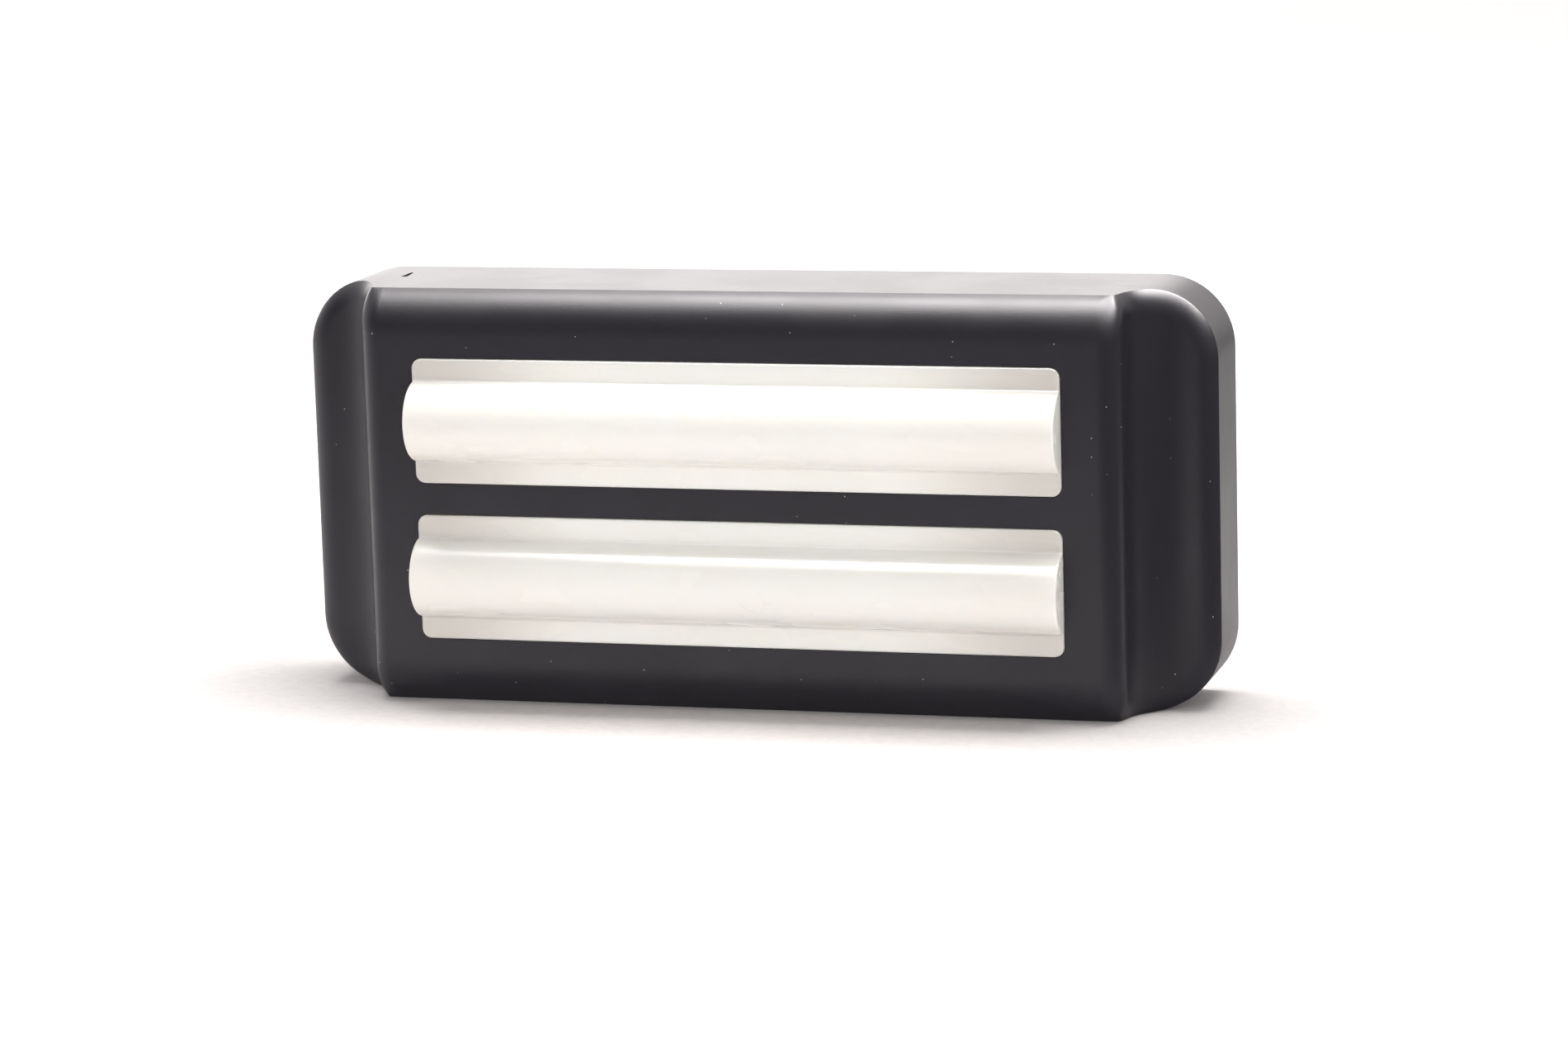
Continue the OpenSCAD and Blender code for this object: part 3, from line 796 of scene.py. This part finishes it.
@dataclass
class LightUnit(Assembly):
    """The reflector and the circuit board with all that is soldered to it."""

    dot_depth: float = 0.1 * MM + 0.5 * MM
    dot_half: float = 0.45 * MM
    resistor_body: float = 0.34

    def dress_row(self, names: list[str], slot: str, finish: Finish) -> None:
        """Dresses CAD nodes that share a finish.

        Args:
            names: The nodes.
            slot: Their material slot.
            finish: Their finish.
        """
        for name in names:
            self.keep(frame["nodes"][name], slot, finish)

    def build(self) -> None:
        """Dresses the inner pieces where they are."""
        nodes = frame["nodes"]
        leds = [name for name in nodes if name.startswith("led_")]
        front = min(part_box(leds[0])[0].y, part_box(leds[0])[1].y)
        dot = Banded(
            "led_white_and_phosphor", (0.85, 0.72, 0.25), roughness=0.3, other=(0.85, 0.85, 0.82),
            axis=Axis.Y, centre=front + self.dot_depth, half=self.dot_half
        )
        self.dress_row(leds, "led", dot)
        low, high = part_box("resistor_1")
        ends = Banded(
            "resistor_black_and_tin", shown(38, 38, 40), roughness=0.4, other=(0.66, 0.66, 0.65),
            axis=Axis.X, centre=(low.x + high.x) / 2, half=(high.x - low.x) * self.resistor_body
        )
        self.dress_row([name for name in nodes if name.startswith("resistor_")], "chip", ends)
        self.dress_row(["reflector"], "reflector", WHITE)
        self.dress_row(["circuit_board"], "board", BOARD)
        self.dress_row(["protection_diode", "driver_chip"], "chip", CHIP)
        self.dress_row(["capacitor"], "capacitor", CAN)
        self.dress_row(["wire_terminal"], "terminal", NYLON)


@dataclass
class Back(Assembly):
    """The screwed back plate with its seal, the mounting studs and the cable gland."""

    edge: float = 0.15 * MM
    edge_turn: float = 40.0
    crease: float = 40.0
    slot_length: float = 2.9 * MM
    slot_width: float = 0.75 * MM
    slot_depth: float = 0.9 * MM
    slot_foot: float = 0.55
    slot_turns: tuple[float, float] = (20.0, 110.0)
    collar: float = 0.3 * MM
    rod_r: float = 2.49 * MM
    root_r: float = 2.07 * MM
    pitch: float = 0.8 * MM
    rod_tip: float = 0.6 * MM
    rod_beyond: float = 0.4 * MM
    rod_sides: int = 32
    rod_rings: int = 100

    def heads(self, screws: bpy.types.Object) -> list[Vector]:
        """Finds the centre of each screw head's outer face, one in each quarter of the lamp."""
        top = max(vertex.co.y for vertex in screws.data.vertices)
        outer = [vertex.co for vertex in screws.data.vertices if vertex.co.y > top - 0.01 * MM]
        centres = []
        for side, level in ((-1, -1), (-1, 1), (1, -1), (1, 1)):
            ring = [point for point in outer if point.x * side > 0 and point.z * level > 0]
            centres.append(sum(ring, Vector()) / len(ring))
        return centres

    def cross(self, name: str, turn: float) -> bpy.types.Object:
        """Models one arm of the driver's tip, narrower at its foot.

        Args:
            name: The arm's name.
            turn: The arm's turn about Y, in degrees.

        Returns:
            The arm, centred on the origin.
        """
        bpy.ops.mesh.primitive_cube_add(size=1.0)
        arm = bpy.context.object
        arm.name = name
        arm.scale = (self.slot_length, 2 * self.slot_depth, self.slot_width)
        arm.rotation_euler = (0.0, math.radians(turn), 0.0)
        Bench.settle(arm)
        with Bench.editing(arm):
            Bench.pick_faces(arm, lambda _, normal: normal.y < -0.9)
            bpy.ops.transform.resize(value=(self.slot_foot, 1.0, self.slot_foot))
        return arm

    def recess(self, screws: bpy.types.Object) -> None:
        """Cuts a cross into each screw head."""
        for centre in self.heads(screws):
            for turn in self.slot_turns:
                arm = self.cross("driver_arm", turn)
                arm.location = centre
                Bench.settle(arm)
                Bench.modify(screws, "BOOLEAN", operation="DIFFERENCE", solver="EXACT", object=arm)
                bpy.data.objects.remove(arm, do_unlink=True)

    def thread_radius(self, along: float, turned: float, left: float) -> float:
        """Gives the thread's radius at one point of a rod.

        Args:
            along: The point's place along the rod.
            turned: Its angle round the rod, in radians.
            left: How far the rod goes on beyond it.

        Returns:
            The radius, which is smaller in the groove and at the tip.
        """
        phase = (along / self.pitch + turned / (2 * math.pi)) % 1.0
        ridge = min(1.0, max(0.0, 1.25 * abs(2 * phase - 1) - 0.1))
        limit = self.rod_r - max(0.0, self.rod_tip - left) * 0.9
        return min(limit, self.root_r + (self.rod_r - self.root_r) * ridge)

    def cut(self, stud: bpy.types.Object) -> None:
        """Cuts the plain rod off a stud, just beyond its collar, and closes the cut."""
        with Bench.editing(stud, "VERT"):
            bpy.ops.mesh.select_all(action="SELECT")
            bpy.ops.mesh.bisect(plane_co=(0, self.collar, 0), plane_no=(0, 1, 0), use_fill=True, clear_outer=True)

    def thread(self, stud: bpy.types.Object, node: str) -> None:
        """Joins a rod with a rolled thread to a stud whose plain rod was cut off.

        Args:
            stud: The stud's copy.
            node: The CAD node that it stands for.
        """
        low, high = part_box(node)
        middle = (low + high) / 2
        length = high.y + self.rod_beyond
        bpy.ops.mesh.primitive_cylinder_add(
            vertices=self.rod_sides, radius=self.rod_r, depth=length,
            location=(middle.x, high.y - length / 2, middle.z), rotation=(math.radians(90), 0, 0)
        )
        rod = bpy.context.object
        Bench.settle(rod)
        with Bench.editing(rod, "EDGE"):
            shape = bmesh.from_edit_mesh(rod.data)
            for edge in shape.edges:
                edge.select_set(abs(edge.verts[0].co.y - edge.verts[1].co.y) > length / 2)
            bpy.ops.mesh.subdivide(number_cuts=self.rod_rings)
        for vertex in rod.data.vertices:
            turned = math.atan2(vertex.co.z - middle.z, vertex.co.x - middle.x)
            reach = self.thread_radius(vertex.co.y, turned, high.y - vertex.co.y)
            vertex.co.x = middle.x + reach * math.cos(turned)
            vertex.co.z = middle.z + reach * math.sin(turned)
        Bench.take(stud)
        rod.select_set(True)
        bpy.ops.object.join()

    def softened(self, node: str, name: str, slot: str, finish: Finish) -> bpy.types.Object:
        """Copies a CAD node, rounds its edges a little and dresses it.

        Args:
            node: The CAD node.
            name: The new piece's name.
            slot: Its material slot.
            finish: Its finish.

        Returns:
            The new piece.
        """
        piece = Bench.copy_of(node, name)
        if node == "plate_screws":
            self.recess(piece)
        if node.startswith("stud_"):
            self.cut(piece)
        Bench.round_edges(piece, self.edge, self.edge_turn)
        if node.startswith("stud_"):
            self.thread(piece, node)
        Bench.smooth(piece, self.crease)
        return self.keep(piece, slot, finish)

    def build(self) -> None:
        """Builds every piece of the back."""
        self.softened("back_plate", "grained_back_plate", "back_plate", PLATE)
        self.softened("cable_gland", "rubber_cable_gland", "gland", GLAND)
        self.softened("plate_screws", "cross_slot_screws", "screws", ZINC)
        for side in ("left", "right"):
            self.softened(f"stud_{side}", f"threaded_stud_{side}", "studs", ZINC)
        self.keep(frame["nodes"]["plate_seal"], "plate_seal", GASKET)


@dataclass(frozen=True)
class PhotoCamera:
    """The camera of the photograph, as angles round the lamp and a distance from its origin."""

    yaw: float = 16.02
    pitch: float = 10.644
    roll: float = -1.649
    distance: float = 653.9 * MM
    aim_right: float = 0.13 * MM
    aim_up: float = -6.49 * MM
    focal_mm: float = 113.34
    sensor_mm: float = 36.0

    def build(self) -> None:
        """Places the camera and makes it the scene's own."""
        yaw, pitch, roll = (math.radians(a) for a in (self.yaw, self.pitch, self.roll))
        back = Vector((math.sin(yaw) * math.cos(pitch), -math.cos(yaw) * math.cos(pitch), math.sin(pitch)))
        level = (-back).cross(Vector((0, 0, 1))).normalized()
        upright = level.cross(-back)
        right = level * math.cos(roll) + upright * math.sin(roll)
        up = upright * math.cos(roll) - level * math.sin(roll)
        turn = Matrix((right, up, back)).transposed().to_4x4()
        lens = bpy.data.cameras.new("photo_camera")
        lens.lens = self.focal_mm
        lens.sensor_width = self.sensor_mm
        lens.sensor_fit = "HORIZONTAL"
        lens.clip_start = 0.01
        lens.clip_end = 50.0
        camera = bpy.data.objects.new("photo_camera", lens)
        aim = right * self.aim_right + up * self.aim_up
        camera.matrix_world = Matrix.Translation(aim + back * self.distance) @ turn
        bpy.context.scene.collection.objects.link(camera)
        bpy.context.scene.camera = camera


@dataclass(frozen=True)
class Softbox:
    """A rectangular lamp that faces a point near the object."""

    name: str
    place: tuple[float, float, float]
    aim: tuple[float, float, float]
    width: float
    height: float
    radiance: float
    colour: Rgb = (1.0, 0.965, 0.955)
    mirrored: bool = True
    lighting: bool = True

    def build(self) -> None:
        """Adds the lamp, whose power follows from its size and radiance."""
        lamp = bpy.data.lights.new(self.name, "AREA")
        lamp.shape = "RECTANGLE"
        lamp.size = self.width
        lamp.size_y = self.height
        lamp.energy = self.radiance * self.width * self.height * math.pi
        lamp.color = self.colour
        holder = bpy.data.objects.new(self.name, lamp)
        holder.location = self.place
        towards = Vector(self.aim) - Vector(self.place)
        holder.rotation_mode = "QUATERNION"
        holder.rotation_quaternion = towards.to_track_quat("-Z", "Y")
        holder.visible_camera = False
        holder.visible_glossy = self.mirrored
        holder.visible_diffuse = self.lighting
        bpy.context.scene.collection.objects.link(holder)


@dataclass(frozen=True)
class Studio:
    """A pale floor in soft light, with white round it.

    The pool is the part of the floor that stays bright where the lamp mirrors it. Past its edges the
    mirrored floor dims, and a distance along X counts for more in front of the lamp than behind it.
    """

    floor_size: float = 8.0
    floor_colour: Rgb = (0.78, 0.74, 0.73)
    floor_shaded: float = 0.95
    paper_size: float = 900.0
    floor_glow: float = 0.35
    glow_from: float = 8 * MM
    glow_to: float = 60 * MM
    pool: tuple[float, float] = (-0.6, 1.0)
    pool_half: tuple[float, float] = (0.62, 1.03)
    pool_stretch: tuple[float, float] = (4.0, 1.4)
    stretch_from: float = -0.03
    stretch_to: float = 0.02
    pool_from: float = 0.02
    pool_to: float = 0.34
    pool_dim: float = 0.9
    room_light: float = 0.43
    room_colour: Rgb = (1.0, 0.965, 0.955)
    dark_front: float = 0.02
    dark_turn: tuple[float, float] = (0.42, 0.9)
    dark_side: tuple[float, float] = (-0.35, 0.15)
    dark_above: tuple[float, float] = (-0.02, 0.12)

    lamps: tuple[Softbox, ...] = (
        Softbox(
            "overhead_softbox", (0.03, 0.075, 0.7), (0.03, 0.075, 0.0), 0.6, 0.29, 10.5, PLAIN, mirrored=False
        ),
        Softbox("overhead_panel", (0.315, 0.015, 0.7), (0.315, 0.015, 0.0), 1.17, 0.47, 35.0, lighting=False),
        Softbox("front_top_panel", (0.315, -0.335, 0.7), (0.315, -0.335, 0.0), 1.17, 0.23, 12.0, lighting=False),
        Softbox("back_softbox", (-1.05, 1.6, 0.45), (0.0, 0.0, 0.0), 2.3, 0.6, 3.7),
        Softbox("front_fill", (-0.6, -1.5, 0.35), (0.0, 0.0, 0.0), 1.6, 1.2, 1.3, PLAIN, mirrored=False),
        Softbox("right_fill", (1.3, -0.5, 0.3), (0.0, 0.0, 0.0), 1.2, 1.2, 1.7, PLAIN, mirrored=False),
    )

    @staticmethod
    def seen(graph: Graph) -> bpy.types.NodeSocket:
        """Gives 1 for what the camera, a reflection or a clear material shows."""
        path = graph.add("ShaderNodeLightPath").outputs
        mirrored = graph.maths("ADD", path["Is Glossy Ray"], path["Is Transmission Ray"])
        return graph.maths("ADD", path["Is Camera Ray"], mirrored, clamp=True)

    @staticmethod
    def away(
        graph: Graph, centre: tuple[float, float], half: tuple[float, float], stretch: Value = 1.0
    ) -> bpy.types.NodeSocket:
        """Gives how far a point of the floor lies outside a rectangle.

        Args:
            graph: The floor's nodes.
            centre: The rectangle's centre along X and Y.
            half: Half of its width and depth.
            stretch: How many times more the distance along X counts.

        Returns:
            The distance's socket, in metres.
        """
        here = graph.place()
        parts = []
        for axis, middle, reach in zip((Axis.X, Axis.Y), centre, half):
            off = graph.maths("ABSOLUTE", graph.maths("SUBTRACT", graph.part(here, axis), middle))
            parts.append(graph.maths("MAXIMUM", graph.maths("SUBTRACT", off, reach), 0.0))
        along = graph.maths("MULTIPLY", parts[0], stretch)
        joined = graph.add("ShaderNodeCombineXYZ", {"X": along, "Y": parts[1]}).outputs[0]
        return graph.add("ShaderNodeVectorMath", {"Vector": joined}, operation="LENGTH").outputs["Value"]

    def floor(self) -> None:
        """Adds the floor, which keeps the lamp's shadow and dims away from the lamp where it is mirrored."""
        low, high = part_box("housing")
        bpy.ops.mesh.primitive_plane_add(size=self.floor_size, location=(0, 0, low.z))
        floor = bpy.context.object
        floor.name = "studio_floor"
        Bench.settle(floor)
        made = bpy.data.materials.new("studio_floor_white")
        made.use_nodes = True
        graph = Graph(made.node_tree)
        made.node_tree.nodes.remove(made.node_tree.nodes["Principled BSDF"])
        paper = graph.between(graph.noise(graph.place(), self.paper_size), 0.3, 0.7)
        tone = graph.blend(paper, self.floor_colour, dimmed(self.floor_colour, self.floor_shaded))
        matte = graph.add("ShaderNodeBsdfDiffuse", {"Color": tone})
        middle, half = (low + high) / 2, (high - low) / 2
        beside = self.away(graph, (middle.x, middle.y), (half.x, half.y))
        white = graph.between(beside, self.glow_from, self.glow_to, 0.0, self.floor_glow)
        glow = graph.add("ShaderNodeEmission", {"Strength": graph.maths("MULTIPLY", self.seen(graph), white)})
        both = graph.add("ShaderNodeAddShader")
        graph.feed(both.inputs[0], matte.outputs[0])
        graph.feed(both.inputs[1], glow.outputs[0])
        stretch = graph.between(
            graph.part(graph.place(), Axis.Y), self.stretch_from, self.stretch_to, *self.pool_stretch
        )
        outside = self.away(graph, self.pool, self.pool_half, stretch)
        dim = graph.between(outside, self.pool_from, self.pool_to, 0.0, self.pool_dim)
        path = graph.add("ShaderNodeLightPath").outputs
        ends = graph.add("ShaderNodeMixShader", {"Fac": graph.maths("MULTIPLY", dim, path["Is Glossy Ray"])})
        graph.feed(ends.inputs[1], both.outputs[0])
        graph.feed(ends.inputs[2], graph.add("ShaderNodeEmission", {"Strength": 0.0}).outputs[0])
        graph.feed(made.node_tree.nodes["Material Output"].inputs["Surface"], ends.outputs[0])
        floor.data.materials.append(made)

    def room(self) -> None:
        """Sets the room: white where it is seen, dim in front and above where it is mirrored."""
        world = bpy.data.worlds.new("studio_room")
        bpy.context.scene.world = world
        world.use_nodes = True
        graph = Graph(world.node_tree)
        towards = graph.add("ShaderNodeTexCoord").outputs["Generated"]
        across = graph.maths("MULTIPLY", graph.part(towards, Axis.X), self.dark_turn[0])
        behind = graph.maths("MULTIPLY", graph.part(towards, Axis.Y), self.dark_turn[1])
        front = graph.between(graph.maths("SUBTRACT", across, behind), *self.dark_side)
        above = graph.between(graph.part(towards, Axis.Z), *self.dark_above)
        mirrored = graph.between(graph.maths("MULTIPLY", front, above), 0.0, 1.0, 1.0, self.dark_front)
        path = graph.add("ShaderNodeLightPath").outputs
        reflected = graph.maths("ADD", path["Is Glossy Ray"], path["Is Transmission Ray"], clamp=True)
        level = graph.maths("MULTIPLY", reflected, mirrored)
        other = graph.maths("SUBTRACT", 1.0, self.seen(graph))
        level = graph.maths("ADD", level, graph.maths("MULTIPLY", other, self.room_light))
        level = graph.maths("ADD", level, path["Is Camera Ray"])
        background = world.node_tree.nodes["Background"]
        tint = graph.blend(reflected, PLAIN, self.room_colour)
        graph.feed(background.inputs["Color"], tint)
        graph.feed(background.inputs["Strength"], level)

    def build(self) -> None:
        """Adds the floor, the room and the lamps."""
        self.floor()
        self.room()
        for lamp in self.lamps:
            lamp.build()
        bpy.context.scene.view_settings.view_transform = "Standard"


def main() -> None:
    """Builds the lamp and the studio in order."""
    logging.basicConfig(level=logging.INFO, format="%(message)s")
    EffectBuilder().build()
    PhotoCamera().build()
    Studio().build()
    for assembly in (Housing(), Lenses(), LightUnit(), Back()):
        assembly.build()
        LOG.info("%s: %d pieces", type(assembly).__name__, len(assembly.made))


if __name__ == "__main__":
    main()
